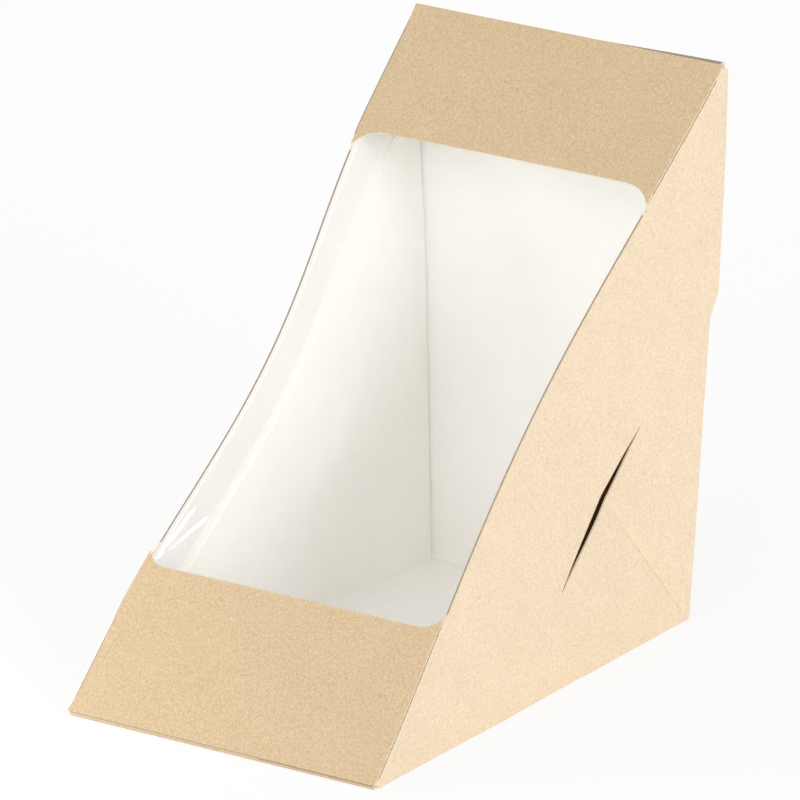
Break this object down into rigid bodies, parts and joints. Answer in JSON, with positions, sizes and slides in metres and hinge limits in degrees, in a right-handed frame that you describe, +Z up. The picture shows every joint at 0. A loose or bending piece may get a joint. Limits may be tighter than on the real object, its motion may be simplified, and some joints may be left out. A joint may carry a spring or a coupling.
{
  "type": "sandwich box",
  "caption": "Folded board wedge box with a clear window over its slanted front and a back panel that opens as a lid.",
  "frame": {"origin": "on the table under the middle of the box", "axes": "+Z up, -Y towards the slanted window, +X to the right of someone facing the window"},
  "size_m": [0.0747, 0.1256, 0.1202],
  "materials": {
    "board": "matt brown kraft outside, white lined inside",
    "lid_board": "matt brown kraft outside, white lined inside",
    "film": "clear glossy film"
  },
  "bodies": {
    "carton": {"carton": "board", "window_film": "film"},
    "lid": {"lid": "lid_board"}
  },
  "joints": [
    {"name": "lid_hinge", "type": "hinge", "parent": "carton", "child": "lid", "pos_m": [0, 0.0602, 0.00105], "axis": [-1, 0, 0], "range_deg": [0, 90]}
  ]
}
